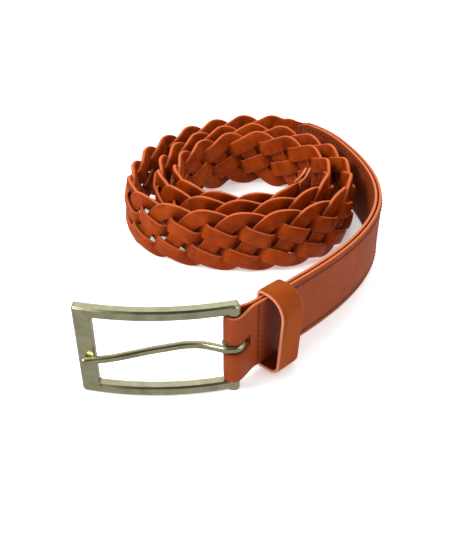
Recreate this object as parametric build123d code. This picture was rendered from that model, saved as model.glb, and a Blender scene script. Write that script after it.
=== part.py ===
from build123d import *
import os
from math import hypot, pi

import numpy as np

# Braided leather belt, rolled up and standing on its lower edge, in millimetres.
# +Z is up, the buckle is at the front left (-X, -Y) and the origin is the middle of the
# base's bounding box. "s" is the length along the belt from the heel bar, "n" the distance
# outward from its middle surface and "z" the height from its middle line.

SHIFT_X, SHIFT_Y = 0.43, 0.76

# The belt's middle line seen from above: the strap from the heel bar, then three turns inward.
ROUTE = [
    (-8.5, -109.3), (0.8, -99.4), (18.4, -80.5), (39.5, -57.7), (58, -32.5),
    (69, -7), (72, 23), (64.5, 60), (42, 99),
    (8, 112), (-25, 101), (-52, 76), (-66, 43), (-64, 11),
    (-44, -8), (-15, -17.5), (15, -16.5), (43, -3),
    (58.5, 23), (56, 54), (36, 85), (7, 97), (-26, 87),
    (-47, 60), (-51, 29), (-37, 6), (-2, -5), (31, 5),
    (47.5, 33), (44, 57), (28, 76), (4, 85.5), (-20, 77),
    (-38, 56), (-41.5, 31), (-28, 11), (-2, 2.5), (22, 11),
    (34.8, 33), (37.3, 56),
]

# Buckle
HEEL_BAR = ROUTE[0]
HEEL_BAR_R = 1.8
BAR_Z = 23.2
FRAME_LEFT = -75.2
FRAME_RIGHT = -6.4
FRONT_BAR_RIGHT = -67.4
FRAME_TOP = 46.4
ARM_HEIGHT = 4.9
FRAME_THICKNESS = 4.2
BOW_RADIUS = 133.2
BOW_CENTRE_X = -42.9
BOW_FRONT_Y = -116.0
OUTER_CORNER_R = 1.4
END_CORNER_R = 2.0
INNER_CORNER_R = 1.2
EDGE_BEVEL = 0.8
KNUCKLE_R = 2.9
KNUCKLE_RISE = -0.15
KNUCKLE_ROUND = 1.9
EYE_COVER = 1.2

# Prong
PRONG_R = 1.7
PRONG_LOOP_R = HEEL_BAR_R + PRONG_R + 0.06
PRONG_Z = 24.5
PRONG_DROOP = 4.2
PRONG_CLEARANCE = 0.15
PRONG_SHANK = [
    (-11.6, HEEL_BAR[1] - PRONG_LOOP_R), (-16.5, -110.75), (-22.5, -108.4), (-30.0, -108.1),
    (-44.0, -110.5), (-60.0, -114.2), (-71.8, -115.1),
]
PRONG_BENDS = [6.0, 30.0, 20.0, 25.0, 60.0, 50.0]
LOOP_END = 165.0

# Strap: a face layer that folds round the heel bar, and a lining that carries on behind it.
STRAP_WIDTH = 35.0
LAYER = 2.1
LAYER_GAP = 0.1
STRAP_MIDDLE = 18.45
LIFT_LENGTH = 90.0
LIFT_EASE = 8.0
FOLD_INNER_R = 2.35
FOLD_CLOSED = 13.0
TURN_BACK_END = 45.0
LINING_START = 45.5
SLOT_R = 8.1
SLOT_HEIGHT = 5.2

# Keeper loop and its staple
KEEPER_START, KEEPER_END = 18.0, 32.0
KEEPER_WALL = 2.0
KEEPER_BACK, KEEPER_FRONT = -4.6, 12.2
KEEPER_BOTTOM, KEEPER_TOP = -20.2, 19.7
KEEPER_TOP_R = 11.0
KEEPER_BOTTOM_R = 5.0
KEEPER_BACK_R = 2.7
KEEPER_SLIT = 0.5
STAPLE_SPAN = 7.0
STAPLE_WIRE = 0.8

# Braid: five flat strands in a flat plait.
STRANDS = 5
STRAND_WIDTH = 6.2
STRAND_THICKNESS = 1.9
STRAND_SKIVED = 1.0
BRAID_HEIGHT = 36.8
BRAID_START, BRAID_END = 262.0, 1140.0
BRAID_EASE = 6.0
LEAD_IN = 11.0
LANE = 6.75
ARCHES = 43
DESCENT = 0.78
TURN = 5.5
WAVE = 2.35
JOINT = BRAID_START - LEAD_IN
TIP_JOINT = BRAID_END + LEAD_IN
SKIVE_GAP = 0.65
SKIVE_LENGTH = 7.0
STRAND_INSET = 6.0

# Tip
BELT_END = 1183.0
TIP_TAPER = 20.0
TIP_BLUNT_HALF = 5.0

# Stitches
STITCH = (2.4, 0.7, 0.5)
STITCH_LIFT = 0.05
EDGE_PITCH = 3.6
EDGE_ROW = 14.5
EDGE_ROW_START = 38.0
SEAM_PITCH = 3.3
SEAM_COUNT = 10

PITCH = (BRAID_END - BRAID_START - BRAID_EASE) / ARCHES
PERIOD = STRANDS * PITCH


def natural_spline(points, samples):
    """Natural cubic spline through the points, sampled evenly in its chord-length parameter."""
    p = np.asarray(points, float)
    chord = np.hypot(*np.diff(p, axis=0).T)
    d = np.concatenate([[0.0], np.cumsum(chord)])
    size = len(p)
    a = np.zeros((size, size))
    b = np.zeros((size, 2))
    a[0, 0] = 1.0
    a[-1, -1] = 1.0
    for i in range(1, size - 1):
        a[i, i - 1] = chord[i - 1]
        a[i, i] = 2 * (chord[i - 1] + chord[i])
        a[i, i + 1] = chord[i]
        b[i] = 6 * ((p[i + 1] - p[i]) / chord[i] - (p[i] - p[i - 1]) / chord[i - 1])
    m = np.linalg.solve(a, b)
    t = np.linspace(0, d[-1], samples)
    k = np.clip(np.searchsorted(d, t, side="right") - 1, 0, size - 2)
    h = chord[k][:, None]
    before = (d[k + 1] - t)[:, None]
    after = (t - d[k])[:, None]
    curve = (m[k] * before**3 + m[k + 1] * after**3) / (6 * h)
    curve += (p[k] / h - m[k] * h / 6) * before
    curve += (p[k + 1] / h - m[k + 1] * h / 6) * after
    return curve


LINE = natural_spline([(x + SHIFT_X, y + SHIFT_Y) for x, y in ROUTE], 60000)
LINE_S = np.concatenate([[0.0], np.cumsum(np.hypot(*np.diff(LINE, axis=0).T))])
LINE_T = np.gradient(LINE, LINE_S, axis=0)
LINE_T /= np.hypot(*LINE_T.T)[:, None]
BAR_X, BAR_Y = LINE[0]
SHIFT = Location((SHIFT_X, SHIFT_Y, 0))


def smooth(x):
    """0 to 1 with level ends."""
    x = np.clip(x, 0.0, 1.0)
    return x * x * (3 - 2 * x)


def soft_ramp(x, ease):
    """x with its start rounded off over the length "ease"."""
    x = np.maximum(x, 0.0)
    return np.where(x < ease, x * x / (2 * ease), x - ease / 2)


def middle_z(s):
    """Height of the belt's middle line: it rises to the buckle's middle at the heel bar."""
    t = np.clip(soft_ramp(s, LIFT_EASE) / (LIFT_LENGTH - LIFT_EASE / 2), 0.0, 1.0)
    return STRAP_MIDDLE + (BAR_Z - STRAP_MIDDLE) * (1 - t) ** 2


def place(s, n, z):
    """Point at belt length s, n outward and z above the middle line, as an (..., 3) array."""
    s, n, z = np.broadcast_arrays(*(np.asarray(v, float) for v in (s, n, z)))
    x = np.interp(s, LINE_S, LINE[:, 0])
    y = np.interp(s, LINE_S, LINE[:, 1])
    tx = np.interp(s, LINE_S, LINE_T[:, 0])
    ty = np.interp(s, LINE_S, LINE_T[:, 1])
    return np.stack([x + n * ty, y - n * tx, z + middle_z(s)], axis=-1)


def seat(s, n, z):
    """Plane on the belt: X along it, Z outward."""
    tx = float(np.interp(s, LINE_S, LINE_T[:, 0]))
    ty = float(np.interp(s, LINE_S, LINE_T[:, 1]))
    rise = float(middle_z(s + 0.5) - middle_z(s - 0.5))
    return Plane(origin=tuple(place(s, n, z)), x_dir=(tx, ty, rise), z_dir=(ty, -tx, 0))


def skin(spans):
    """Closed solid with four long edges. A span is (section, start, end, count), where
    section(t) gives the four corners in order round the section, as a (..., 4, 3) array."""
    faces = []
    for section, start, end, count in spans:
        u = np.linspace(0.0, 1.0, count)
        corners = section(start + (end - start) * u)
        step = 1e-4
        first = (section(np.array([start + (end - start) * step]))[0] - corners[0]) / step
        last = (corners[-1] - section(np.array([end - (end - start) * step]))[0]) / step
        edges = []
        for k in range(4):
            edges.append(
                Edge.make_spline(
                    [tuple(point) for point in corners[:, k]],
                    tangents=[tuple(first[k]), tuple(last[k])],
                    parameters=[float(v) for v in u],
                    scale=False,
                )
            )
        for k in range(4):
            faces.append(Face.make_surface_from_curves(edges[k], edges[(k + 1) % 4]))
    for section, t in ((spans[0][0], spans[0][1]), (spans[-1][0], spans[-1][2])):
        a, b, c, d = (tuple(point) for point in section(np.array([t]))[0])
        faces.append(Face.make_surface_from_curves(Edge.make_line(a, b), Edge.make_line(d, c)))
    return Solid(Shell(faces))


def layer_section(inner, outer, half):
    """Section of a flat layer from n = inner(s) to n = outer(s), half(s) above and below."""

    def section(s):
        low, high, reach = inner(s), outer(s), half(s)
        corners = [
            place(s, low, -reach), place(s, high, -reach),
            place(s, high, reach), place(s, low, reach),
        ]
        return np.stack(corners, axis=-2)

    return section


def flat_layer(side, closing_start, closing_end, half):
    """Face (side 1) or lining (side -1) layer, skived at a joint with the strands."""

    def inner(s):
        skived = smooth((s - closing_start) / (closing_end - closing_start))
        return side * (LAYER_GAP + (SKIVE_GAP - LAYER_GAP) * skived)

    def outer(s):
        return side * (LAYER_GAP + LAYER) * np.ones_like(s)

    return layer_section(inner, outer, half)


def strap_half(s):
    return STRAP_WIDTH / 2 * np.ones_like(s)


def fold_layer(side):
    """The face layer where it opens towards the fold, in front of or behind the heel bar."""

    def inner(s):
        closed = smooth(s / FOLD_CLOSED)
        return side * (FOLD_INNER_R + (LAYER_GAP - FOLD_INNER_R) * closed)

    def outer(s):
        return inner(s) + side * LAYER

    return layer_section(inner, outer, strap_half)


def fold_arc(turn):
    """The fold round the heel bar: turn runs from pi (behind) to 0 (in front)."""
    tx, ty = LINE_T[0]
    corners = []
    for radius, height in (
        (FOLD_INNER_R, -STRAP_WIDTH / 2), (FOLD_INNER_R + LAYER, -STRAP_WIDTH / 2),
        (FOLD_INNER_R + LAYER, STRAP_WIDTH / 2), (FOLD_INNER_R, STRAP_WIDTH / 2),
    ):
        out = radius * np.cos(turn)
        back = -radius * np.sin(turn)
        x = BAR_X + out * ty + back * tx
        y = BAR_Y - out * tx + back * ty
        corners.append(np.stack([x, y, np.full_like(x, BAR_Z + height)], axis=-1))
    return np.stack(corners, axis=-2)


def strap_outer():
    """Face layer: from the end of the turn-back, round the heel bar, to the braid."""
    back = fold_layer(-1)
    back_flat = flat_layer(-1, BELT_END, BELT_END + 1, strap_half)
    front = fold_layer(1)
    front_flat = flat_layer(1, JOINT - STRAND_INSET - SKIVE_LENGTH, JOINT - STRAND_INSET, strap_half)
    solid = skin([
        (back_flat, TURN_BACK_END, FOLD_CLOSED, 12),
        (back, FOLD_CLOSED, 0.0, 12),
        (fold_arc, pi, 0.0, 17),
        (front, 0.0, FOLD_CLOSED, 12),
        (front_flat, FOLD_CLOSED, 52.0, 14),
        (front_flat, 52.0, 150.0, 26),
        (front_flat, 150.0, JOINT - STRAND_INSET - SKIVE_LENGTH, 26),
        (front_flat, JOINT - STRAND_INSET - SKIVE_LENGTH, JOINT - STRAND_INSET, 10),
        (front_flat, JOINT - STRAND_INSET, JOINT, 5),
    ])
    slot = Pos(BAR_X, BAR_Y, PRONG_Z) * Cylinder(SLOT_R, SLOT_HEIGHT)
    return solid - slot


def strap_lining():
    skive_end = JOINT - STRAND_INSET
    section = flat_layer(-1, skive_end - SKIVE_LENGTH, skive_end, strap_half)
    return skin([
        (section, LINING_START, 120.0, 22),
        (section, 120.0, skive_end - SKIVE_LENGTH, 34),
        (section, skive_end - SKIVE_LENGTH, skive_end, 10),
        (section, skive_end, JOINT, 5),
    ])


def tip_half(s):
    """The tip narrows along an ellipse to a blunt end."""
    t = np.clip((s - (BELT_END - TIP_TAPER)) / TIP_TAPER, 0.0, 1.0)
    full = STRAP_WIDTH / 2
    end = (TIP_BLUNT_HALF / full) ** 2
    return full * np.sqrt(1 - (1 - end) * t**2.4)


def tip_layer(side):
    skive_start = TIP_JOINT + STRAND_INSET
    section = flat_layer(side, skive_start + SKIVE_LENGTH, skive_start, tip_half)
    return skin([
        (section, TIP_JOINT, skive_start, 5),
        (section, skive_start, skive_start + SKIVE_LENGTH, 10),
        (section, skive_start + SKIVE_LENGTH, BELT_END, 24),
    ])


def triangle(u):
    """Height of a strand over one period, 1 at the top and 0 at the bottom, with rounded turns."""
    u = u - np.floor(u)
    rounding = TURN / PERIOD
    slopes = 1 / DESCENT + 1 / (1 - DESCENT)
    z = np.where(u < DESCENT, 1 - u / DESCENT, (u - DESCENT) / (1 - DESCENT))
    top = np.minimum(u, 1 - u)
    bottom = np.abs(u - DESCENT)
    z = z - np.where(top < rounding, slopes * (rounding - top) ** 2 / (4 * rounding), 0)
    return z + np.where(bottom < rounding, slopes * (rounding - bottom) ** 2 / (4 * rounding), 0)


def strand_height(u):
    """Height of a strand's middle: a slow descent, then a quick climb back over one edge."""
    rounding = TURN / PERIOD
    slopes = 1 / DESCENT + 1 / (1 - DESCENT)
    highest = 1 - rounding / DESCENT + rounding / (slopes * DESCENT**2)
    return (BRAID_HEIGHT - STRAND_WIDTH) / 2 * (2 * triangle(u) - 1) / (2 * highest - 1)


def crossing_count(u):
    """Crossings a strand has passed, rising evenly between them."""
    whole = np.floor(u)
    down = [0.2 * DESCENT * k for k in range(1, 5)]
    up = [DESCENT + (1 - DESCENT) * 0.2 * k for k in range(1, 5)]
    knots = [up[-1] - 1] + down + up + [1 + down[0]]
    return 8 * whole + np.interp(u - whole, knots, range(10))


def strand_depth(u):
    """Over and under: a descending strand passes outside and inside the climbing ones."""
    v = u - np.floor(u)
    swing = smooth(np.minimum(v, DESCENT - v) / (0.2 * DESCENT))
    return WAVE * swing * np.tanh(3 * np.cos(pi * crossing_count(u))) / np.tanh(3)


def lane(i, shift):
    """Height of strand i where the five lie side by side, in the order the plait gives them."""
    heights = [float(strand_height(np.array((k + shift) / STRANDS))) for k in range(STRANDS)]
    return (sorted(heights).index(heights[i]) - (STRANDS - 1) / 2) * LANE


def strand_line(i, s):
    """Height and depth of the middle of strand i at belt length s."""
    total = BRAID_END - BRAID_START - BRAID_EASE
    start = soft_ramp(s - BRAID_START, BRAID_EASE)
    end = total - soft_ramp(BRAID_END - s, BRAID_EASE)
    x = np.where(s > (BRAID_START + BRAID_END) / 2, end, start)
    u = x / PERIOD + i / STRANDS
    inside = np.minimum(s - JOINT, TIP_JOINT - s)
    lanes = np.where(s < (BRAID_START + BRAID_END) / 2, lane(i, 0), lane(i, ARCHES))
    plaited = smooth((inside - 4.0) / (LEAD_IN - 4.0))
    z = strand_height(u) * plaited + lanes * (1 - plaited)
    return z, strand_depth(u) * smooth(inside / 5.0)


def strand_section(i):
    def section(s):
        step = 0.05
        z, n = strand_line(i, s)
        slope = (strand_line(i, s + step)[0] - strand_line(i, s - step)[0]) / (2 * step)
        stretch = np.hypot(1, slope)
        inside = np.minimum(s - JOINT, TIP_JOINT - s)
        grown = smooth((inside - 0.3) / 4.0)
        half = (STRAND_SKIVED + (STRAND_THICKNESS - STRAND_SKIVED) * grown) / 2
        corners = []
        for across, out in ((-1, -1), (-1, 1), (1, 1), (1, -1)):
            w = across * STRAND_WIDTH / 2
            corners.append(place(s - slope / stretch * w, n + out * half, z + w / stretch))
        return np.stack(corners, axis=-2)

    return section


def strand(i):
    """One flat strand of the plait, from under the strap's layers to under the tip's."""
    breaks = [JOINT - STRAND_INSET + 0.5, JOINT, BRAID_START]
    turns = []
    for period in range(-1, ARCHES // STRANDS + 2):
        for phase in (0.0, DESCENT / 2, DESCENT, (1 + DESCENT) / 2):
            u = period + phase - i / STRANDS
            turns.append(BRAID_START + BRAID_EASE / 2 + u * PERIOD)
    breaks += [s for s in turns if BRAID_START + 8 < s < BRAID_END - 8]
    breaks += [BRAID_END, TIP_JOINT, TIP_JOINT + STRAND_INSET - 0.5]
    section = strand_section(i)
    spans = []
    for start, end in zip(breaks, breaks[1:]):
        spans.append((section, start, end, max(6, round((end - start) / 1.9))))
    return skin(spans)


def bowed_blank():
    """Front outline of the frame cut from a plate that bows forward."""
    window_top = FRAME_TOP - ARM_HEIGHT
    width = FRAME_RIGHT - FRAME_LEFT
    outline = Pos((FRAME_LEFT + FRAME_RIGHT) / 2, FRAME_TOP / 2) * Rectangle(width, FRAME_TOP)
    ordered = outline.vertices().sort_by(Axis.X)
    outline = fillet(ordered[:2], OUTER_CORNER_R)
    ordered = outline.vertices().sort_by(Axis.X)
    outline = fillet(ordered[-2:], END_CORNER_R)
    window_width = width + FRAME_LEFT - FRONT_BAR_RIGHT + 5
    window = Rectangle(window_width, window_top - ARM_HEIGHT)
    window = fillet(window.vertices().sort_by(Axis.X)[:2], INNER_CORNER_R)
    outline -= Pos(FRONT_BAR_RIGHT + window_width / 2, (ARM_HEIGHT + window_top) / 2) * window
    blank = Plane.XZ * extrude(outline, 160, both=True)
    centre = Pos(BOW_CENTRE_X, BOW_FRONT_Y + BOW_RADIUS, 0)
    bow = Cylinder(BOW_RADIUS, 3 * FRAME_TOP) - Cylinder(BOW_RADIUS - FRAME_THICKNESS, 3 * FRAME_TOP)
    return blank & centre * bow & Pos(BOW_CENTRE_X, BOW_FRONT_Y, 0) * Box(200, 40, 3 * FRAME_TOP)


def on_front(edge):
    """Whether an edge lies on the frame's outer, bowed face."""
    middle = edge.position_at(0.5)
    reach = hypot(middle.X - BOW_CENTRE_X, middle.Y - BOW_FRONT_Y - BOW_RADIUS)
    return abs(reach - BOW_RADIUS) < 0.02


def drooped(shape):
    """A shape drawn level with the prong's loop, tipped down towards the front bar."""
    pivot = Location((*HEEL_BAR, PRONG_Z))
    return SHIFT * pivot * Rot(0, -PRONG_DROOP, 0) * pivot.inverse() * shape


def buckle_frame():
    """Open frame with bevelled front edges, a rest for the prong and eyes for the heel bar."""
    frame = bowed_blank()
    frame = chamfer([e for e in frame.edges() if on_front(e)], EDGE_BEVEL)
    upper = Cylinder(KNUCKLE_R, ARM_HEIGHT + KNUCKLE_RISE)
    upper = fillet(upper.faces().sort_by(Axis.Z)[-1].edges(), KNUCKLE_ROUND)
    frame += Pos(*HEEL_BAR, FRAME_TOP - ARM_HEIGHT / 2 + KNUCKLE_RISE / 2) * upper
    frame += Pos(*HEEL_BAR, ARM_HEIGHT / 2) * Cylinder(KNUCKLE_R, ARM_HEIGHT)
    before, tip = PRONG_SHANK[-2:]
    beyond = (2 * tip[0] - before[0], 2 * tip[1] - before[1])
    rest = Wire([Edge.make_line((*before, PRONG_Z), (*beyond, PRONG_Z))])
    rest_plane = Plane(origin=rest @ 0, z_dir=rest % 0)
    frame = SHIFT * frame - drooped(sweep(rest_plane * Circle(PRONG_R + PRONG_CLEARANCE), path=rest))
    return frame - heel_bar()


def heel_bar():
    return Pos(BAR_X, BAR_Y, FRAME_TOP / 2) * Cylinder(HEEL_BAR_R, FRAME_TOP - 2 * EYE_COVER)


def prong():
    """Round wire: a loop round the heel bar, a dipped shank and a rounded tip."""
    loop = CenterArc((*HEEL_BAR, PRONG_Z), PRONG_LOOP_R, -90, LOOP_END + 90)
    points = [(HEEL_BAR[0], HEEL_BAR[1] - PRONG_LOOP_R, PRONG_Z)]
    points += [(x, y, PRONG_Z) for x, y in PRONG_SHANK]
    shank = FilletPolyline(*points, radius=PRONG_BENDS)
    wire = Wire(list(loop.edges()) + list(shank.edges()))
    profile = Plane(origin=loop @ 1, z_dir=loop % 1) * Circle(PRONG_R)
    bar = sweep(profile, path=wire)
    return drooped(bar + Pos(*points[-1]) * Sphere(PRONG_R))


def stitches(rows):
    """One small bar of thread for each (s, n, z, angle): n > 0 is the face, n < 0 the back."""
    bars = []
    for s, n, z, angle in rows:
        side = 1 if n > 0 else -1
        lift = side * (STITCH_LIFT + STITCH[2] / 2)
        bars.append(seat(s, n + lift, z).location * Rot(0, 0, angle) * Box(*STITCH))
    return Compound(children=bars)


def both_faces(places):
    surface = LAYER_GAP + LAYER
    return [(s, side * surface, z, angle) for s, z, angle in places for side in (1, -1)]


def edge_row(z, start, end):
    count = int((end - start) / EDGE_PITCH)
    return [(start + k * EDGE_PITCH, z, 0) for k in range(count + 1)]


def cross_row(s, count, pitch):
    return [(s, (k - (count - 1) / 2) * pitch, 90) for k in range(count)]


def keeper():
    """D-shaped loop of leather round the strap, its ends butted at the back over a staple."""
    middle = (KEEPER_START + KEEPER_END) / 2
    base = seat(middle, 0, 0)
    along = base.x_dir
    across = Plane(origin=base.origin, x_dir=base.z_dir, z_dir=along)
    ring = keeper_profile(0) - keeper_profile(KEEPER_WALL)
    slit_n = KEEPER_BACK + KEEPER_WALL / 2
    ring -= Pos(slit_n, 0) * Rectangle(KEEPER_WALL + 1, KEEPER_SLIT)
    body = extrude(ring, (KEEPER_END - KEEPER_START) / 2, both=True)
    for z in (-STAPLE_SPAN / 2, STAPLE_SPAN / 2):
        hole = Pos(slit_n, z, 0) * Box(KEEPER_WALL + 1, STAPLE_WIRE + 0.1, STAPLE_WIRE + 0.1)
        body -= hole
    return across.location * body


def keeper_profile(inset):
    """D-shaped outline in (n, distance down from the strap's middle line)."""
    width = KEEPER_FRONT - KEEPER_BACK - 2 * inset
    height = KEEPER_TOP - KEEPER_BOTTOM - 2 * inset
    middle = Pos((KEEPER_FRONT + KEEPER_BACK) / 2, -(KEEPER_TOP + KEEPER_BOTTOM) / 2)
    shape = middle * Rectangle(width, height)
    front = shape.vertices().sort_by(Axis.X)[-2:].sort_by(Axis.Y)
    shape = fillet([front[0]], KEEPER_TOP_R - inset)
    front = shape.vertices().sort_by(Axis.X)[-2:].sort_by(Axis.Y)
    shape = fillet([front[-1]], KEEPER_BOTTOM_R - inset)
    back = shape.vertices().sort_by(Axis.X)[:2]
    return fillet(back, KEEPER_BACK_R - inset)


def keeper_staple():
    """Wire staple: a crown on the keeper's back and two legs through it."""
    middle = (KEEPER_START + KEEPER_END) / 2
    base = seat(middle, 0, 0)
    across = Plane(origin=base.origin, x_dir=base.z_dir, z_dir=base.x_dir)
    crown_n = KEEPER_BACK - 0.03 - STAPLE_WIRE / 2
    length = STAPLE_SPAN + STAPLE_WIRE
    body = Pos(crown_n, 0, 0) * Box(STAPLE_WIRE, length, STAPLE_WIRE)
    leg = KEEPER_WALL - 0.1
    for z in (-STAPLE_SPAN / 2, STAPLE_SPAN / 2):
        body += Pos(crown_n + leg / 2, z, 0) * Box(leg, STAPLE_WIRE, STAPLE_WIRE)
    return across.location * body


def sloped(places, z):
    """Edge stitches of the tip, drawn in along its taper."""
    rows = []
    for s, _, _ in places:
        half = float(tip_half(np.array([s]))[0])
        rows.append((s, z * (half - STRAP_WIDTH / 2 + EDGE_ROW), 0))
    return rows


fold_rows = both_faces(cross_row(FOLD_CLOSED + 0.6, SEAM_COUNT, SEAM_PITCH))
root_rows = both_faces(cross_row(JOINT - 2.5, SEAM_COUNT, SEAM_PITCH))
tip_rows = both_faces(cross_row(TIP_JOINT + 2.5, SEAM_COUNT, SEAM_PITCH))
edge_end = JOINT - 5.5
tip_places = edge_row(0, TIP_JOINT + 5.5, BELT_END - 7.0)

nodes = {
    "buckle_frame": buckle_frame(),
    "heel_bar": heel_bar(),
    "prong": prong(),
    "strap_outer": strap_outer(),
    "strap_lining": strap_lining(),
    "keeper": keeper(),
    "keeper_staple": keeper_staple(),
    "fold_stitching": stitches(fold_rows),
    "upper_edge_stitching": stitches(both_faces(edge_row(EDGE_ROW, EDGE_ROW_START, edge_end))),
    "lower_edge_stitching": stitches(both_faces(edge_row(-EDGE_ROW, EDGE_ROW_START, edge_end))),
    "root_seam_stitching": stitches(root_rows),
    "tip_outer": tip_layer(1),
    "tip_lining": tip_layer(-1),
    "tip_seam_stitching": stitches(tip_rows),
    "tip_edge_stitching": stitches(both_faces(sloped(tip_places, 1) + sloped(tip_places, -1))),
}
for number in range(STRANDS):
    nodes[f"strand_{number + 1}"] = strand(number)

os.makedirs("parts", exist_ok=True)
for name, shape in nodes.items():
    export_step(shape, f"parts/{name}.step")
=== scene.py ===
import math

import bpy
import numpy as np
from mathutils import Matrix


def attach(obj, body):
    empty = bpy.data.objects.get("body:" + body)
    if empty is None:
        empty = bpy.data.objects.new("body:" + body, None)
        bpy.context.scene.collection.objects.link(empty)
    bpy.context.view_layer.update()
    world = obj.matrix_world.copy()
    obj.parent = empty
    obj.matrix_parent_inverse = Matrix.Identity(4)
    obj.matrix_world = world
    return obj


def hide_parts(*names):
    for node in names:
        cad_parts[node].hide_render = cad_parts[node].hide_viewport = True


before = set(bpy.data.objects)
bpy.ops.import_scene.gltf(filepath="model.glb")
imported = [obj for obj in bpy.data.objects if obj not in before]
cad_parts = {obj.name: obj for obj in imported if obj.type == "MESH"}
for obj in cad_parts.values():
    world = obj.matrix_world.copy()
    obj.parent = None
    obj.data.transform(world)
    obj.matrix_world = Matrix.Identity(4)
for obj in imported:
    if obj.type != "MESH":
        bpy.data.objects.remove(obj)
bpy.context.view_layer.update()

# Braided leather belt, rolled up. The belt's own directions are s (length from the heel bar),
# n (outward) and z (up from its middle line). All of them are in millimetres until a mesh is
# made, which is in metres.
MM = 0.001
SHIFT_X, SHIFT_Y = 0.43, 0.76

ROUTE = [
    (-8.5, -109.3), (0.8, -99.4), (18.4, -80.5), (39.5, -57.7), (58, -32.5),
    (69, -7), (72, 23), (64.5, 60), (42, 99),
    (8, 112), (-25, 101), (-52, 76), (-66, 43), (-64, 11),
    (-44, -8), (-15, -17.5), (15, -16.5), (43, -3),
    (58.5, 23), (56, 54), (36, 85), (7, 97), (-26, 87),
    (-47, 60), (-51, 29), (-37, 6), (-2, -5), (31, 5),
    (47.5, 33), (44, 57), (28, 76), (4, 85.5), (-20, 77),
    (-38, 56), (-41.5, 31), (-28, 11), (-2, 2.5), (22, 11),
    (34.8, 33), (37.3, 56),
]

# Sizes of the strap and the buckle's bar
BAR_Z = 23.2
STRAP_WIDTH = 35.0
LAYER = 2.1
LAYER_GAP = 0.1
STRAP_MIDDLE = 18.45
LIFT_LENGTH = 90.0
LIFT_EASE = 8.0
FOLD_INNER_R = 2.35
FOLD_CLOSED = 13.0
FOLD_STATIONS = 60
# How dark the painted shade is on the strap behind the keeper.
KEEPER_SHADE = 0.8
TURN_BACK_END = 45.0
LINING_START = 45.5
SLOT_Z = 24.5
SLOT_R = 8.1
SLOT_HEIGHT = 5.2
SURFACE = LAYER_GAP + LAYER
END_TAPER = 9.0
END_DROP = 2.6

# Keeper
KEEPER_START, KEEPER_END = 18.0, 32.0
KEEPER_WALL = 2.0
KEEPER_BACK, KEEPER_FRONT = -4.6, 12.2
KEEPER_BOTTOM, KEEPER_TOP = -20.2, 19.7
KEEPER_TOP_R = 11.0
KEEPER_BOTTOM_R = 5.0
KEEPER_BACK_R = 2.7
KEEPER_STEPS, KEEPER_SIDES = 220, 24
# How dark the painted shade is on the keeper's inner face.
KEEPER_INSIDE_SHADE = 0.9

# Braid. The ribbons of leather swell to fill the plait, so they are fuller than the solids that
# they stand for and turn more softly at its edges. SHINGLE is how far a strand's edges lean out
# and in as it runs down, so that each lies on its neighbour.
STRANDS = 5
SKIVED_WIDTH = 6.9
STRAND_WIDTH = 9.2
STRAND_THICKNESS = 2.9
STRAND_SKIVED = 1.0
STRAND_STEPS = 1200
STRAND_SIDES = 24
STRAND_GROWTH = 8.0
STRAND_CROWN = 0.12
STRAND_WEAR = 0.12
WEAR_KNOTS = 170
# How dark the painted shade is in the braid's crevices.
CREVICE_SHADE = 0.7
BRAID_HEIGHT = 36.8
BRAID_START, BRAID_END = 262.0, 1140.0
BRAID_EASE = 6.0
LEAD_IN = 11.0
LANE = 6.75
ARCHES = 43
DESCENT = 0.78
TURN = 8.5
WAVE = 2.35
JOINT = BRAID_START - LEAD_IN
TIP_JOINT = BRAID_END + LEAD_IN
SKIVE_GAP = 0.65
SKIVE_LENGTH = 7.0
STRAND_INSET = 6.0
SHINGLE = 0.6
PERIOD = STRANDS * (BRAID_END - BRAID_START - BRAID_EASE) / ARCHES

# Tip
BELT_END = 1183.0
TIP_TAPER = 20.0
TIP_BLUNT_HALF = 5.0

# Stitches
EDGE_PITCH = 3.6
EDGE_ROW = 14.5
EDGE_ROW_START = 38.0
SEAM_PITCH = 3.3
SEAM_COUNT = 10
THREAD_LENGTH = 2.5
THREAD_R = 0.36
THREAD_LIFT = 0.42
THREAD_SINK = 0.22
NEEDLE_HOLE_R = 0.55


def natural_spline(points, samples):
    """Natural cubic spline through the points, sampled evenly in its chord-length parameter."""
    p = np.asarray(points, float)
    chord = np.hypot(*np.diff(p, axis=0).T)
    d = np.concatenate([[0.0], np.cumsum(chord)])
    size = len(p)
    a = np.zeros((size, size))
    b = np.zeros((size, 2))
    a[0, 0] = 1.0
    a[-1, -1] = 1.0
    for i in range(1, size - 1):
        a[i, i - 1] = chord[i - 1]
        a[i, i] = 2 * (chord[i - 1] + chord[i])
        a[i, i + 1] = chord[i]
        b[i] = 6 * ((p[i + 1] - p[i]) / chord[i] - (p[i] - p[i - 1]) / chord[i - 1])
    m = np.linalg.solve(a, b)
    t = np.linspace(0, d[-1], samples)
    k = np.clip(np.searchsorted(d, t, side="right") - 1, 0, size - 2)
    h = chord[k][:, None]
    before = (d[k + 1] - t)[:, None]
    after = (t - d[k])[:, None]
    curve = (m[k] * before**3 + m[k + 1] * after**3) / (6 * h)
    curve += (p[k] / h - m[k] * h / 6) * before
    curve += (p[k + 1] / h - m[k + 1] * h / 6) * after
    return curve


LINE = natural_spline([(x + SHIFT_X, y + SHIFT_Y) for x, y in ROUTE], 24000)
LINE_S = np.concatenate([[0.0], np.cumsum(np.hypot(*np.diff(LINE, axis=0).T))])
LINE_T = np.gradient(LINE, LINE_S, axis=0)
LINE_T /= np.hypot(*LINE_T.T)[:, None]


def smooth(x):
    x = np.clip(x, 0.0, 1.0)
    return x * x * (3 - 2 * x)


def soft_ramp(x, ease):
    x = np.maximum(x, 0.0)
    return np.where(x < ease, x * x / (2 * ease), x - ease / 2)


def middle_z(s):
    t = np.clip(soft_ramp(s, LIFT_EASE) / (LIFT_LENGTH - LIFT_EASE / 2), 0.0, 1.0)
    return STRAP_MIDDLE + (BAR_Z - STRAP_MIDDLE) * (1 - t) ** 2


def tangent(s):
    return np.interp(s, LINE_S, LINE_T[:, 0]), np.interp(s, LINE_S, LINE_T[:, 1])


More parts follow.
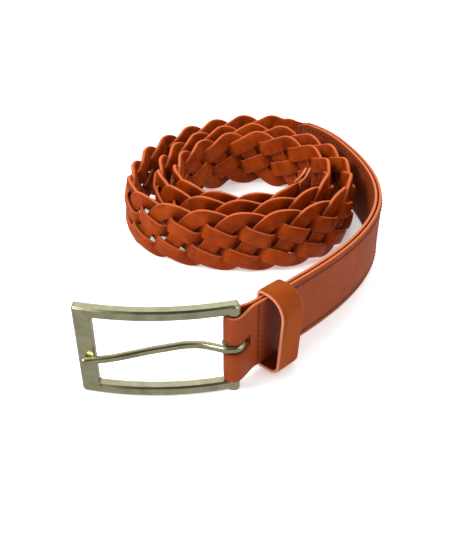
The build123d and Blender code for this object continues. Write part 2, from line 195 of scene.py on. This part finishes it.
def place(s, n, z):
    """Point at length s, n outward and z above the middle line, as an (..., 3) array in mm."""
    s, n, z = np.broadcast_arrays(*(np.asarray(v, float) for v in (s, n, z)))
    tx, ty = tangent(s)
    x = np.interp(s, LINE_S, LINE[:, 0])
    y = np.interp(s, LINE_S, LINE[:, 1])
    return np.stack([x + n * ty, y - n * tx, z + middle_z(s)], axis=-1)


def make_object(name, points, faces, attributes=None, smooth_shading=True):
    """Mesh object from points in mm, with one value per vertex for each named attribute."""
    mesh = bpy.data.meshes.new(name)
    mesh.from_pydata((np.asarray(points) * MM).tolist(), [], faces)
    mesh.validate()
    for key, values in (attributes or {}).items():
        layer = mesh.attributes.new(key, "FLOAT", "POINT")
        layer.data.foreach_set("value", np.asarray(values, np.float32))
    mesh.shade_smooth() if smooth_shading else mesh.shade_flat()
    piece = bpy.data.objects.new(name, mesh)
    bpy.context.collection.objects.link(piece)
    return piece


def grid_faces(rows, columns):
    """Faces of a tube of rows of points, each row closed on itself, with its ends capped."""
    faces = []
    for r in range(rows - 1):
        below = r * columns
        above = (r + 1) * columns
        for c in range(columns):
            d = (c + 1) % columns
            faces.append((below + c, below + d, above + d, above + c))
    faces.append(tuple(range(columns))[::-1])
    faces.append(tuple((rows - 1) * columns + c for c in range(columns)))
    return faces


def rounded_section(sides, power):
    """Unit rounded rectangle as (across, out) pairs, with the points gathered at its corners."""
    turn = np.linspace(0, 2 * math.pi, sides, endpoint=False) + math.pi / sides
    turn = turn - 0.12 * np.sin(4 * turn)
    across = np.sign(np.cos(turn)) * np.abs(np.cos(turn)) ** (2 / power)
    out = np.sign(np.sin(turn)) * np.abs(np.sin(turn)) ** (2 / power)
    return across, out


# ---- Materials -------------------------------------------------------------------------


def new_material(name):
    material = bpy.data.materials.new(name)
    material.use_nodes = True
    tree = material.node_tree
    return material, tree, tree.nodes["Principled BSDF"]


def node(tree, kind, **inputs):
    made = tree.nodes.new(kind)
    for key, value in inputs.items():
        made.inputs[key.replace("_", " ")].default_value = value
    return made


def noise(tree, scale, detail=3.0, roughness=0.5):
    coordinates = tree.nodes.new("ShaderNodeTexCoord")
    made = node(tree, "ShaderNodeTexNoise", Scale=scale, Detail=detail, Roughness=roughness)
    tree.links.new(coordinates.outputs["Object"], made.inputs["Vector"])
    return made.outputs["Fac"]


def ramp(tree, fac, low, high):
    """0 to 1 as fac goes from low to high."""
    made = node(tree, "ShaderNodeMapRange", From_Min=low, From_Max=high)
    tree.links.new(fac, made.inputs["Value"])
    return made.outputs["Result"]


def mix(tree, fac, first, second, blend="MIX"):
    made = tree.nodes.new("ShaderNodeMix")
    made.data_type = "RGBA"
    made.blend_type = blend
    for socket, value in ((made.inputs[0], fac), (made.inputs[6], first), (made.inputs[7], second)):
        if isinstance(value, bpy.types.NodeSocket):
            tree.links.new(value, socket)
        elif isinstance(value, tuple):
            socket.default_value = (*value, 1.0)
        else:
            socket.default_value = value
    return made.outputs[2]


def math_node(tree, operation, first, second):
    made = tree.nodes.new("ShaderNodeMath")
    made.operation = operation
    for socket, value in zip(made.inputs, (first, second)):
        if isinstance(value, bpy.types.NodeSocket):
            tree.links.new(value, socket)
        else:
            socket.default_value = value
    return made.outputs[0]


def attribute(tree, name):
    made = tree.nodes.new("ShaderNodeAttribute")
    made.attribute_name = name
    return made.outputs["Fac"]


def leather(name, base, dark, light, edge, grain, gloss, bump, shine, mottle=0.25):
    """Pull-up leather: cloudy colour, fine pores, painted shade in its hollows and paler cut edges."""
    material, tree, shader = new_material(name)
    cloud = ramp(tree, noise(tree, 38.0, 4.0, 0.6), 0.38, 0.66)
    colour = mix(tree, cloud, base, light)
    patch = ramp(tree, noise(tree, 140.0, 5.0, 0.65), 0.46, 0.70)
    colour = mix(tree, math_node(tree, "MULTIPLY", patch, mottle), colour, dark)
    # Painted shade: the shade attribute darkens the braid's crevices, the inside of the fold and keeper,
    # and the strap behind the keeper.
    colour = mix(tree, attribute(tree, "shade"), colour, dark)
    colour = mix(tree, attribute(tree, "cut"), colour, edge)
    tree.links.new(colour, shader.inputs["Base Color"])
    coordinates = tree.nodes.new("ShaderNodeTexCoord")
    pores = node(tree, "ShaderNodeTexVoronoi", Scale=grain)
    pores.feature = "DISTANCE_TO_EDGE"
    tree.links.new(coordinates.outputs["Object"], pores.inputs["Vector"])
    creases = ramp(tree, pores.outputs["Distance"], 0.0, 0.22)
    fibres = noise(tree, 2600.0, 3.0, 0.7)
    soft = noise(tree, 230.0, 3.0, 0.55)
    height = math_node(tree, "MULTIPLY", creases, 0.55)
    height = math_node(tree, "ADD", height, math_node(tree, "MULTIPLY", fibres, 0.25))
    height = math_node(tree, "ADD", height, math_node(tree, "MULTIPLY", soft, 0.9))
    bumped = node(tree, "ShaderNodeBump", Strength=bump, Distance=0.0004)
    tree.links.new(height, bumped.inputs["Height"])
    tree.links.new(bumped.outputs["Normal"], shader.inputs["Normal"])
    rough = math_node(tree, "ADD", gloss, math_node(tree, "MULTIPLY", soft, 0.16))
    rough = math_node(tree, "ADD", rough, math_node(tree, "MULTIPLY", attribute(tree, "cut"), 0.25))
    tree.links.new(rough, shader.inputs["Roughness"])
    shader.inputs["Specular IOR Level"].default_value = shine
    return material


def metal(name, base, dark, roughness=0.30):
    """Antique plated metal, brushed, with brown-green tarnish in cloudy patches."""
    material, tree, shader = new_material(name)
    coordinates = tree.nodes.new("ShaderNodeTexCoord")
    stretch = node(tree, "ShaderNodeMapping", Scale=(120.0, 1400.0, 1400.0))
    tree.links.new(coordinates.outputs["Object"], stretch.inputs["Vector"])
    brushed = node(tree, "ShaderNodeTexNoise", Scale=1.0, Detail=4.0, Roughness=0.6)
    tree.links.new(stretch.outputs["Vector"], brushed.inputs["Vector"])
    tarnish = ramp(tree, noise(tree, 150.0, 5.0, 0.65), 0.40, 0.72)
    colour = mix(tree, math_node(tree, "MULTIPLY", tarnish, 0.6), base, dark)
    streak = ramp(tree, brushed.outputs["Fac"], 0.35, 0.75)
    colour = mix(tree, math_node(tree, "MULTIPLY", streak, 0.25), colour, dark)
    tree.links.new(colour, shader.inputs["Base Color"])
    shader.inputs["Metallic"].default_value = 1.0
    rough = math_node(tree, "ADD", roughness, math_node(tree, "MULTIPLY", brushed.outputs["Fac"], 0.14))
    tree.links.new(rough, shader.inputs["Roughness"])
    bumped = node(tree, "ShaderNodeBump", Strength=0.12, Distance=0.0001)
    tree.links.new(brushed.outputs["Fac"], bumped.inputs["Height"])
    tree.links.new(bumped.outputs["Normal"], shader.inputs["Normal"])
    return material


def thread(name, base, dark):
    """Waxed thread, with its ply as fine slanting ridges, and painted shade at the needle holes."""
    material, tree, shader = new_material(name)
    colour = mix(tree, ramp(tree, noise(tree, 900.0), 0.35, 0.7), base, dark)
    # Painted shade: near black where the thread sinks into a needle hole and on the disc over each hole.
    colour = mix(tree, attribute(tree, "hole"), colour, (0.022, 0.002, 0.001))
    tree.links.new(colour, shader.inputs["Base Color"])
    coordinates = tree.nodes.new("ShaderNodeTexCoord")
    ply = node(tree, "ShaderNodeTexWave", Scale=900.0, Distortion=0.6)
    ply.bands_direction = "DIAGONAL"
    tree.links.new(coordinates.outputs["Object"], ply.inputs["Vector"])
    bumped = node(tree, "ShaderNodeBump", Strength=0.5, Distance=0.0001)
    tree.links.new(ply.outputs["Fac"], bumped.inputs["Height"])
    tree.links.new(bumped.outputs["Normal"], shader.inputs["Normal"])
    shader.inputs["Roughness"].default_value = 0.62
    return material


BRAID_LEATHER = leather(
    "braid_leather", (0.255, 0.031, 0.0016), (0.065, 0.004, 0.0005),
    (0.33, 0.050, 0.003), (0.56, 0.130, 0.042),
    grain=1100.0, gloss=0.30, bump=0.35, shine=0.06, mottle=0.5,
)
STRAP_LEATHER = leather(
    "strap_leather", (0.235, 0.037, 0.0045), (0.14, 0.015, 0.002),
    (0.27, 0.046, 0.007), (0.50, 0.135, 0.050),
    grain=1500.0, gloss=0.40, bump=0.16, shine=0.12,
)
KEEPER_LEATHER = leather(
    "keeper_leather", (0.225, 0.036, 0.0018), (0.11, 0.010, 0.001),
    (0.27, 0.048, 0.003), (0.66, 0.250, 0.140),
    grain=1400.0, gloss=0.36, bump=0.18, shine=0.06,
)
LINING_LEATHER = leather(
    "lining_leather", (0.20, 0.032, 0.005), (0.08, 0.009, 0.001),
    (0.25, 0.045, 0.008), (0.56, 0.165, 0.070),
    grain=1000.0, gloss=0.58, bump=0.35, shine=0.08,
)
ANTIQUE_METAL = metal("antique_metal", (0.52, 0.500, 0.335), (0.25, 0.230, 0.125), 0.20)
PRONG_METAL = metal("prong_metal", (0.50, 0.480, 0.300), (0.18, 0.160, 0.075), 0.18)
STAPLE_METAL = metal("staple_metal", (0.52, 0.50, 0.44), (0.25, 0.23, 0.18), 0.28)
THREAD = thread("thread", (0.21, 0.028, 0.008), (0.13, 0.015, 0.004))


# ---- Leather ---------------------------------------------------------------------------


def triangle(u):
    u = u - np.floor(u)
    rounding = TURN / PERIOD
    slopes = 1 / DESCENT + 1 / (1 - DESCENT)
    z = np.where(u < DESCENT, 1 - u / DESCENT, (u - DESCENT) / (1 - DESCENT))
    top = np.minimum(u, 1 - u)
    bottom = np.abs(u - DESCENT)
    z = z - np.where(top < rounding, slopes * (rounding - top) ** 2 / (4 * rounding), 0)
    return z + np.where(bottom < rounding, slopes * (rounding - bottom) ** 2 / (4 * rounding), 0)


def strand_height(u):
    rounding = TURN / PERIOD
    slopes = 1 / DESCENT + 1 / (1 - DESCENT)
    highest = 1 - rounding / DESCENT + rounding / (slopes * DESCENT**2)
    return (BRAID_HEIGHT - STRAND_WIDTH) / 2 * (2 * triangle(u) - 1) / (2 * highest - 1)


def crossing_count(u):
    whole = np.floor(u)
    down = [0.2 * DESCENT * k for k in range(1, 5)]
    up = [DESCENT + (1 - DESCENT) * 0.2 * k for k in range(1, 5)]
    knots = [up[-1] - 1] + down + up + [1 + down[0]]
    return 8 * whole + np.interp(u - whole, knots, range(10))


def strand_depth(u):
    v = u - np.floor(u)
    swing = smooth(np.minimum(v, DESCENT - v) / (0.2 * DESCENT))
    return WAVE * swing * np.tanh(3 * np.cos(math.pi * crossing_count(u))) / np.tanh(3)


def lane(i, shift):
    heights = [float(strand_height(np.array((k + shift) / STRANDS))) for k in range(STRANDS)]
    return (sorted(heights).index(heights[i]) - (STRANDS - 1) / 2) * LANE


def strand_line(i, s):
    """Height and depth of the middle of strand i at belt length s."""
    total = BRAID_END - BRAID_START - BRAID_EASE
    start = soft_ramp(s - BRAID_START, BRAID_EASE)
    end = total - soft_ramp(BRAID_END - s, BRAID_EASE)
    x = np.where(s > (BRAID_START + BRAID_END) / 2, end, start)
    u = x / PERIOD + i / STRANDS
    inside = np.minimum(s - JOINT, TIP_JOINT - s)
    lanes = np.where(s < (BRAID_START + BRAID_END) / 2, lane(i, 0), lane(i, ARCHES))
    plaited = smooth((inside - 4.0) / (LEAD_IN - 4.0))
    z = strand_height(u) * plaited + lanes * (1 - plaited)
    return z, strand_depth(u) * smooth(inside / 5.0)


def make_strand(i):
    """A flat leather strand: slightly domed grain face, square-cut paler edges."""
    rng = np.random.default_rng(40 + i)
    count = STRAND_STEPS
    s = np.linspace(JOINT - STRAND_INSET + 0.5, TIP_JOINT + STRAND_INSET - 0.5, count)
    step = 0.05
    z, n = strand_line(i, s)
    slope = (strand_line(i, s + step)[0] - strand_line(i, s - step)[0]) / (2 * step)
    stretch = np.hypot(1, slope)
    inside = np.minimum(s - JOINT, TIP_JOINT - s)
    grown = smooth((inside - 0.3) / STRAND_GROWTH)
    knots = np.linspace(s[0], s[-1], WEAR_KNOTS)
    swell = np.interp(s, knots, rng.normal(0, 1, len(knots)))
    wander = np.interp(s, knots, rng.normal(0, 1, len(knots)))
    half_width = (SKIVED_WIDTH + (STRAND_WIDTH - SKIVED_WIDTH + STRAND_WEAR * swell) * grown) / 2
    half_thick = (STRAND_SKIVED + (STRAND_THICKNESS - STRAND_SKIVED) * grown) / 2
    reach = BRAID_HEIGHT / 2 + 0.1
    descending = smooth(-slope / 0.3) * grown
    across, out = rounded_section(STRAND_SIDES, 4.6)
    rows, shade = [], []
    for a, o in zip(across, out):
        w = a * half_width
        crown = 1 - STRAND_CROWN * a * a
        height = np.clip(z + w / stretch + STRAND_WEAR * wander * grown, -reach, reach)
        lean = SHINGLE * a * descending
        rows.append(place(s - slope / stretch * w, n + lean + o * half_thick * crown, height))
        visible = n + lean if o > 0 else -(n + lean)
        # Painted shade: darker where the strand's face lies under its neighbours, and a little along its
        # sides.
        shade.append(CREVICE_SHADE * smooth((0.8 - visible) / 3.0) + 0.25 * abs(a) ** 6 * (1 - abs(o)))
    points = np.stack(rows, axis=1).reshape(-1, 3)
    cut = 0.9 * np.clip((np.abs(across) - 0.93) / 0.05, 0, 1) * np.clip(1.25 - np.abs(out), 0, 1)
    attributes = {"cut": np.tile(cut, count), "shade": np.stack(shade, axis=1).reshape(-1)}
    piece = make_object(f"leather_strand_{i + 1}", points, grid_faces(count, len(across)), attributes)
    finish(piece, BRAID_LEATHER, "braid_leather", "belt", f"strand_{i + 1}")


def finish(piece, material, slot, body, *replaced):
    piece.data.materials.clear()
    piece.data.materials.append(material)
    if replaced:
        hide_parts(*replaced)
    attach(piece, body)


def slab(name, middles, outs, halves, thickness, inner_shade=0.0, outer_shade=0.0, power=7.0, sides=36):
    """A band of leather along a row of stations: outs are its unit outward directions, halves its half
    widths, thickness one value or one per station, and the next two how much painted shade darkens its
    inner and outer faces there. Its edges are cut and burnished."""
    across, out = rounded_section(sides, power)
    count = len(middles)
    thick = np.broadcast_to(np.asarray(thickness, float), (count,)) / 2
    points = np.zeros((count, sides, 3))
    for k in range(sides):
        points[:, k] = middles + outs * (out[k] * thick)[:, None]
        points[:, k, 2] += across[k] * halves
    cut = np.clip((np.abs(across) - 0.985) / 0.012, 0, 1) * np.clip(1.3 - np.abs(out), 0, 1)
    # Painted shade on the inner and outer faces.
    shade = np.outer(np.broadcast_to(inner_shade, (count,)), out < 0)
    shade = shade + np.outer(np.broadcast_to(outer_shade, (count,)), out > 0)
    attributes = {"cut": np.tile(cut, count), "shade": shade.reshape(-1)}
    return make_object(name, points.reshape(-1, 3), grid_faces(count, sides), attributes)


def fold_gap(s):
    return FOLD_INNER_R + (LAYER_GAP - FOLD_INNER_R) * smooth(s / FOLD_CLOSED)


def end_taper(left):
    """How much the strap's half width has lost where left mm of it remain before the braid."""
    t = np.clip(1 - left / END_TAPER, 0.0, 1.0)
    return END_DROP * t * t


def make_strap_face():
    """Face leather from the end of the turn-back, round the heel bar, to the braid."""
    skive = JOINT - STRAND_INSET
    middles, outs, thick = [], [], []

    def add(side, s, gap, outer):
        tx, ty = tangent(s)
        middles.append(place(s, side * (gap + outer) / 2, 0))
        outs.append(np.stack([side * ty, -side * tx, np.zeros_like(tx)], axis=-1))
        thick.append(outer - gap)

    s = np.linspace(TURN_BACK_END, 0.0, FOLD_STATIONS)
    back_lengths = s
    add(-1, s, fold_gap(s), fold_gap(s) + LAYER)
    turn = np.linspace(math.pi, 0, 33)[1:-1]
    tx, ty = LINE_T[0]
    radial = np.stack([
        np.cos(turn) * ty - np.sin(turn) * tx, -np.cos(turn) * tx - np.sin(turn) * ty, 0 * turn,
    ], axis=-1)
    bar = np.array([LINE[0, 0], LINE[0, 1], BAR_Z])
    middles.append(bar + radial * (FOLD_INNER_R + LAYER / 2))
    outs.append(radial)
    thick.append(np.full(len(turn), LAYER))
    s = np.concatenate([np.linspace(0, 40, FOLD_STATIONS), np.linspace(41, JOINT, 190)])
    gap = fold_gap(s)
    gap = gap + (SKIVE_GAP - LAYER_GAP) * smooth((s - skive + SKIVE_LENGTH) / SKIVE_LENGTH)
    add(1, s, gap, fold_gap(s) + LAYER)
    middles, outs, thick = (np.concatenate(v) for v in (middles, outs, thick))
    lengths = np.concatenate([back_lengths, np.zeros(len(turn)), s])
    # Painted shade inside the fold round the heel bar, and on the strap's face where the keeper covers
    # it.
    painted_fold_shade = 1 - smooth(lengths / FOLD_CLOSED)
    painted_keeper_shade = KEEPER_SHADE * smooth((lengths - FOLD_CLOSED) / 7)
    painted_keeper_shade *= 1 - smooth((lengths - KEEPER_END + 2) / 3)
    halves = np.full(len(middles), STRAP_WIDTH / 2)
    halves[-len(s):] -= end_taper(JOINT - s)
    piece = slab("strap_face", middles, outs, halves, thick, painted_fold_shade, painted_keeper_shade)
    cut_slot(piece)
    finish(piece, STRAP_LEATHER, "strap_leather", "belt", "strap_outer")
    return piece


def cut_slot(piece):
    """Cuts the prong's slot through the fold."""
    bpy.ops.mesh.primitive_cylinder_add(
        vertices=64, radius=SLOT_R * MM, depth=SLOT_HEIGHT * MM,
        location=(LINE[0, 0] * MM, LINE[0, 1] * MM, SLOT_Z * MM),
    )
    cutter = bpy.context.object
    modifier = piece.modifiers.new("slot", "BOOLEAN")
    modifier.operation = "DIFFERENCE"
    modifier.solver = "EXACT"
    modifier.object = cutter
    graph = bpy.context.evaluated_depsgraph_get()
    cut = bpy.data.meshes.new_from_object(piece.evaluated_get(graph))
    piece.modifiers.clear()
    piece.data = cut
    bpy.data.objects.remove(cutter, do_unlink=True)


def make_lining():
    skive = JOINT - STRAND_INSET
    s = np.linspace(LINING_START, JOINT, 200)
    gap = LAYER_GAP + (SKIVE_GAP - LAYER_GAP) * smooth((s - skive + SKIVE_LENGTH) / SKIVE_LENGTH)
    tx, ty = tangent(s)
    middles = place(s, -(gap + SURFACE) / 2, 0)
    outs = np.stack([-ty, tx, 0 * tx], axis=-1)
    halves = STRAP_WIDTH / 2 - end_taper(JOINT - s)
    piece = slab("strap_lining_leather", middles, outs, halves, SURFACE - gap)
    finish(piece, LINING_LEATHER, "lining_leather", "belt", "strap_lining")


def tip_half(s):
    t = np.clip((s - (BELT_END - TIP_TAPER)) / TIP_TAPER, 0.0, 1.0)
    full = STRAP_WIDTH / 2
    end = (TIP_BLUNT_HALF / full) ** 2
    return full * np.sqrt(1 - (1 - end) * t**2.4)


def make_tip(side, name, material, slot_name, replaced):
    skive = TIP_JOINT + STRAND_INSET
    s = np.linspace(TIP_JOINT, BELT_END, 60)
    gap = LAYER_GAP + (SKIVE_GAP - LAYER_GAP) * smooth((skive + SKIVE_LENGTH - s) / SKIVE_LENGTH)
    tx, ty = tangent(s)
    middles = place(s, side * (gap + SURFACE) / 2, 0)
    outs = np.stack([side * ty, -side * tx, 0 * tx], axis=-1)
    piece = slab(name, middles, outs, tip_half(s), SURFACE - gap)
    finish(piece, material, slot_name, "belt", replaced)


def keeper_outline(inset, steps):
    """Closed D-shaped outline in (n, z), from the middle of its back and round the front."""
    low, high = KEEPER_BACK + inset, KEEPER_FRONT - inset
    bottom, top = KEEPER_BOTTOM + inset, KEEPER_TOP - inset
    back_r, bottom_r, top_r = KEEPER_BACK_R - inset, KEEPER_BOTTOM_R - inset, KEEPER_TOP_R - inset
    corners = [
        (low, bottom, back_r, math.pi), (high, bottom, bottom_r, 1.5 * math.pi),
        (high, top, top_r, 0.0), (low, top, back_r, 0.5 * math.pi),
    ]
    path = [(low, -0.3)]
    for n, z, radius, start in corners:
        radius = max(radius, 0.3)
        centre_n = n - math.copysign(radius, n - (low + high) / 2)
        centre_z = z - math.copysign(radius, z)
        for angle in np.linspace(start, start + math.pi / 2, 13):
            path.append((centre_n + radius * math.cos(angle), centre_z + radius * math.sin(angle)))
    path.append((low, 0.3))
    path = np.array(path)
    along = np.concatenate([[0], np.cumsum(np.hypot(*np.diff(path, axis=0).T))])
    t = np.linspace(0, along[-1], steps)
    return np.stack([np.interp(t, along, path[:, 0]), np.interp(t, along, path[:, 1])], axis=-1)


def make_keeper():
    """The keeper: a band bent into a D, its corners soft and its cut edges paler."""
    steps, sides = KEEPER_STEPS, KEEPER_SIDES
    line = keeper_outline(KEEPER_WALL / 2, steps)
    direction = np.gradient(line, axis=0)
    direction /= np.hypot(*direction.T)[:, None]
    out = np.stack([direction[:, 1], -direction[:, 0]], axis=-1)
    middle = (KEEPER_START + KEEPER_END) / 2
    half = (KEEPER_END - KEEPER_START) / 2
    origin = place(middle, 0, 0)
    rise = float(middle_z(middle + 0.5) - middle_z(middle - 0.5))
    tx, ty = tangent(middle)
    along = np.array([tx, ty, rise]) / math.sqrt(1 + rise * rise)
    normal = np.array([ty, -tx, 0.0])
    up = np.cross(along, -normal)
    up = up if up[2] > 0 else -up
    across, face = rounded_section(sides, 6.0)
    points = np.zeros((steps, sides, 3))
    for k in range(sides):
        shift = line + out * face[k] * KEEPER_WALL / 2
        points[:, k] = (
            origin + np.outer(shift[:, 0], normal) + np.outer(shift[:, 1], up) + along * across[k] * half
        )
    cut = np.clip((np.abs(across) - 0.96) / 0.03, 0, 1) * np.clip(1.3 - np.abs(face), 0, 1)
    # Painted shade on the keeper's inner face.
    shade = np.where(face < 0, KEEPER_INSIDE_SHADE, 0.0)
    attributes = {"cut": np.tile(cut, steps), "shade": np.tile(shade, steps)}
    faces = grid_faces(steps, sides)
    piece = make_object("keeper_leather_loop", points.reshape(-1, 3), faces, attributes)
    finish(piece, KEEPER_LEATHER, "keeper_leather", "belt", "keeper")


# ---- Stitches --------------------------------------------------------------------------


def stitch_mesh(rows, rng):
    """Threads that rise out of one needle hole and sink into the next."""
    points, faces, holes = [], [], []
    sections, sides = 7, 8
    turn = np.linspace(0, 2 * math.pi, sides, endpoint=False)
    for s, n, z, upright in rows:
        side = 1.0 if n > 0 else -1.0
        tilt = rng.normal(0, 0.05)
        start = len(points)
        for k in range(sections):
            t = -1 + 2 * k / (sections - 1)
            run = t * THREAD_LENGTH / 2
            lift = (1 - t * t) * THREAD_LIFT - THREAD_SINK
            thick = THREAD_R * (1 - 0.35 * t**4)
            for angle in turn:
                wide = thick * math.cos(angle)
                high = lift + thick * 0.8 * math.sin(angle)
                if upright:
                    point = place(s + wide + tilt * run, n + side * high, z + run)
                else:
                    point = place(s + run, n + side * high, z + wide + tilt * run)
                points.append(point)
                # The thread's last stretch into each hole is marked for painted shade.
                holes.append(1.0 if abs(t) > 0.9 else 0.0)
        for face in grid_faces(sections, sides):
            faces.append(tuple(start + index for index in face))
        # A flat disc over each needle hole, all painted shade.
        for end in (-1, 1):
            ring = []
            for angle in turn:
                du = NEEDLE_HOLE_R * math.cos(angle)
                dv = NEEDLE_HOLE_R * math.sin(angle)
                run = end * THREAD_LENGTH / 2 + du
                if upright:
                    points.append(place(s + dv, n + side * 0.03, z + run))
                else:
                    points.append(place(s + run, n + side * 0.03, z + dv))
                holes.append(1.0)
                ring.append(len(points) - 1)
            faces.append(tuple(ring))
    return np.array(points), faces, holes


def make_stitches(name, rows, replaced):
    rng = np.random.default_rng(len(rows))
    points, faces, holes = stitch_mesh(rows, rng)
    piece = make_object(name, points, faces, {"hole": holes})
    finish(piece, THREAD, "thread", "belt", replaced)


def both_faces(places):
    return [(s, side * SURFACE, z, upright) for s, z, upright in places for side in (1, -1)]


def edge_row(z, start, end):
    count = int((end - start) / EDGE_PITCH)
    return [(start + k * EDGE_PITCH, z, False) for k in range(count + 1)]


def cross_row(s):
    return [(s, (k - (SEAM_COUNT - 1) / 2) * SEAM_PITCH, True) for k in range(SEAM_COUNT)]


def tip_rows():
    rows = []
    for s, _, _ in edge_row(0, TIP_JOINT + 5.5, BELT_END - 7.0):
        inner = float(tip_half(np.array([s]))[0]) - STRAP_WIDTH / 2 + EDGE_ROW
        rows += [(s, inner, False), (s, -inner, False)]
    return rows


# ---- Build -----------------------------------------------------------------------------

for number in range(STRANDS):
    make_strand(number)
make_strap_face()
make_lining()
make_tip(1, "tip_face", STRAP_LEATHER, "strap_leather", "tip_outer")
make_tip(-1, "tip_back", LINING_LEATHER, "lining_leather", "tip_lining")
make_keeper()
make_stitches("fold_thread", both_faces(cross_row(FOLD_CLOSED + 0.6)), "fold_stitching")
make_stitches("root_thread", both_faces(cross_row(JOINT - 2.5)), "root_seam_stitching")
make_stitches("tip_seam_thread", both_faces(cross_row(TIP_JOINT + 2.5)), "tip_seam_stitching")
make_stitches("tip_edge_thread", both_faces(tip_rows()), "tip_edge_stitching")
for sign, where in ((1, "upper"), (-1, "lower")):
    places = edge_row(sign * EDGE_ROW, EDGE_ROW_START, JOINT - 5.5)
    make_stitches(f"{where}_edge_thread", both_faces(places), f"{where}_edge_stitching")

for name, material in (
    ("buckle_frame", ANTIQUE_METAL), ("heel_bar", ANTIQUE_METAL), ("prong", PRONG_METAL),
    ("keeper_staple", STAPLE_METAL),
):
    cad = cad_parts[name]
    if not cad.data.materials:
        cad.data.materials.append(material)
    for index in range(len(cad.material_slots)):
        cad.material_slots[index].material = material

# ---- Floor, light and camera -----------------------------------------------------------

floor_material, floor_tree, floor_shader = new_material("studio_floor")
floor_shader.inputs["Base Color"].default_value = (0.93, 0.93, 0.93, 1.0)
floor_shader.inputs["Roughness"].default_value = 0.9
floor_shader.inputs["Emission Color"].default_value = (1.0, 1.0, 1.0, 1.0)
floor_shader.inputs["Emission Strength"].default_value = 0.35
bpy.ops.mesh.primitive_plane_add(size=6.0, location=(0, 0, -0.0001))
floor = bpy.context.object
floor.name = "studio_floor"
floor.data.materials.append(floor_material)
floor.visible_glossy = False

# The room is pale to the leather's own colour and dimmer in its reflections. A dark strip high
# in front draws a line along the buckle's bevels, and a bright one behind lights its upper faces.
world = bpy.data.worlds.new("studio")
bpy.context.scene.world = world
world.use_nodes = True
sky = world.node_tree


def sky_patch(direction, low, high):
    """1 in the middle of the patch of sky in that direction, 0 beyond its edge."""
    where = sky.nodes.new("ShaderNodeTexCoord")
    facing = sky.nodes.new("ShaderNodeVectorMath")
    facing.operation = "DOT_PRODUCT"
    facing.inputs[1].default_value = direction
    sky.links.new(where.outputs["Generated"], facing.inputs[0])
    return ramp(sky, facing.outputs["Value"], low, high)


DARK_STRIP = (0.0, -0.57, 0.82)
BRIGHT_STRIP = (0.0, 0.82, 0.57)
room = mix(sky, sky_patch(DARK_STRIP, 0.84, 0.93), (0.56, 0.56, 0.54), (0.04, 0.04, 0.03))
room = mix(sky, sky_patch(BRIGHT_STRIP, 0.72, 0.97), room, (1.15, 1.15, 1.12))
glossy_ray = sky.nodes.new("ShaderNodeLightPath").outputs["Is Glossy Ray"]
sky.links.new(mix(sky, glossy_ray, (0.74, 0.74, 0.74), room), sky.nodes["Background"].inputs["Color"])


def area_light(name, location, target, size, power, mirrored):
    data = bpy.data.lights.new(name, "AREA")
    data.size = size
    data.energy = power
    light = bpy.data.objects.new(name, data)
    bpy.context.collection.objects.link(light)
    light.location = location
    light.visible_glossy = mirrored
    aim = np.array(target) - np.array(location)
    light.rotation_euler = (
        math.atan2(math.hypot(aim[0], aim[1]), -aim[2]), 0, math.atan2(aim[1], aim[0]) - math.pi / 2,
    )


area_light("key", (-0.60, -0.25, 0.60), (0, 0, 0.02), 0.35, 6.0, True)
area_light("top", (0.10, 0.45, 0.75), (0, 0, 0.02), 0.45, 5.0, False)
area_light("fill", (0.7, -0.3, 0.4), (0, 0, 0.02), 0.5, 1.2, True)

camera_data = bpy.data.cameras.new("camera")
camera = bpy.data.objects.new("camera", camera_data)
bpy.context.collection.objects.link(camera)
camera_data.sensor_fit = "HORIZONTAL"
camera_data.sensor_width = 36.0
camera_data.lens = 56.35
camera_data.clip_start = 0.01
camera.location = ((-10 + SHIFT_X) * MM, (-345 + SHIFT_Y) * MM, 0.225)
camera.rotation_euler = (math.radians(90 - 35), 0, 0)
bpy.context.scene.camera = camera

scene = bpy.context.scene
scene.view_settings.view_transform = "Standard"
